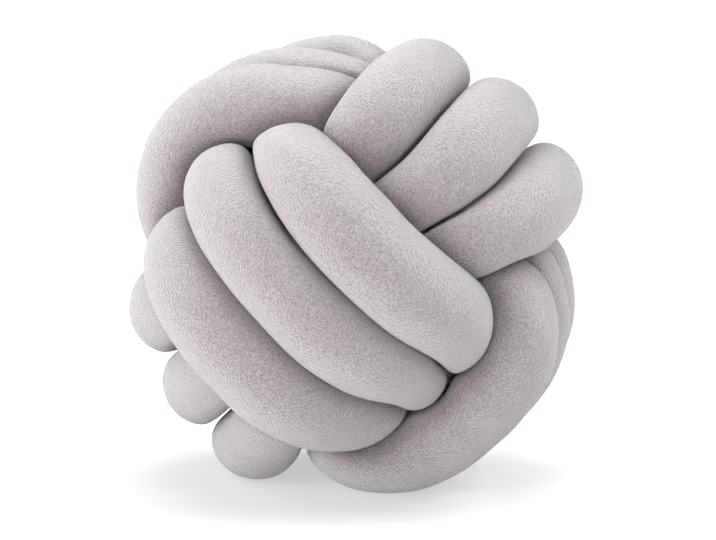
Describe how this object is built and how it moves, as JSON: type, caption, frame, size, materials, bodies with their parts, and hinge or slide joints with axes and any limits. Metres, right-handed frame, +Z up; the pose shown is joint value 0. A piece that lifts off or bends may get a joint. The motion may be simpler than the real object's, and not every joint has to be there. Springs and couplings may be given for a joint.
{
  "type": "knot cushion",
  "caption": "Ball-shaped cushion made of one stuffed plush sleeve wound into a knot, each band of side-by-side turns passing over one neighbour and under the other.",
  "frame": {"origin": "middle of the footprint box, on the surface the ball rests on", "axes": "+Z up; the front band of the knot, with its three diagonal strands, faces -Y; +X is to the right of a viewer in front"},
  "size_m": [0.297, 0.3118, 0.2931],
  "materials": {
    "plush": "matte short pile"
  },
  "bodies": {
    "root": {"knot_cushion": "plush"}
  },
  "joints": []
}
